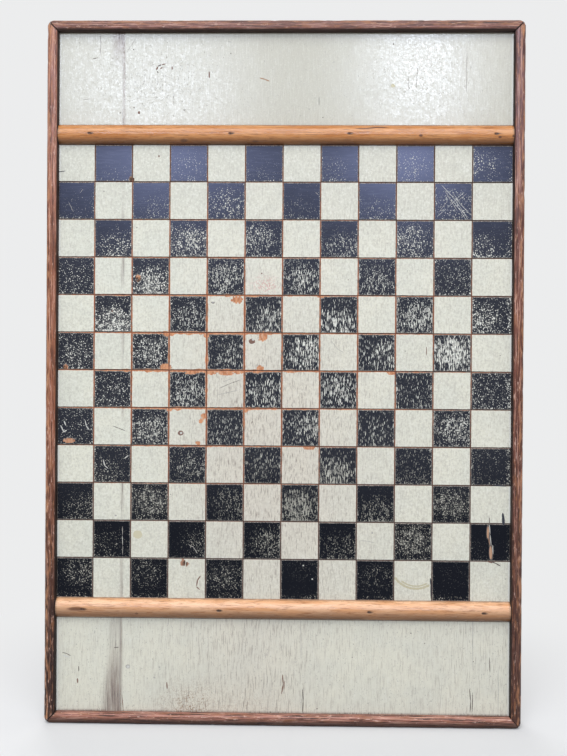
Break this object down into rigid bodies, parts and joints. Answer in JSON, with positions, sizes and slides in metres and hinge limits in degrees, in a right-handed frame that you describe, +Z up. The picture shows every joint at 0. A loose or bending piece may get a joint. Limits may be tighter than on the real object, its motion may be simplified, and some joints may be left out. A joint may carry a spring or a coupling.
{
  "type": "game board",
  "caption": "Double-ended wooden game board with a chequered field, an open tray at each end, half-round dividers and a raised mitred frame.",
  "frame": {"origin": "middle of the footprint, on the surface that the board stands on with its foot edge down", "axes": "+Z up along the board's height, +X to the right as the playing face is seen, +Y from the playing face to the flat back"},
  "size_m": [0.4806, 0.0274, 0.7097],
  "materials": {
    "bare_pine": "old bare pine, dry and dusty",
    "stained_wood": "worn red-brown stain, satin",
    "honey_pine": "old shellac on pine, satin",
    "nail_iron": "dark, lightly rusted",
    "light_paint": "aged greyish white oil paint, eggshell",
    "dark_paint": "worn blue-black oil paint, eggshell",
    "tray_paint": "aged greenish white oil paint, eggshell"
  },
  "bodies": {
    "root": {"narrow_board": "bare_pine", "wide_board": "bare_pine", "head_strip": "stained_wood", "foot_strip": "stained_wood", "left_strip": "stained_wood", "right_strip": "stained_wood", "upper_divider": "honey_pine", "lower_divider": "honey_pine", "strip_nails": "nail_iron", "divider_nails": "nail_iron", "light_squares": "light_paint", "dark_squares": "dark_paint", "tray_paint": "tray_paint"}
  },
  "joints": []
}
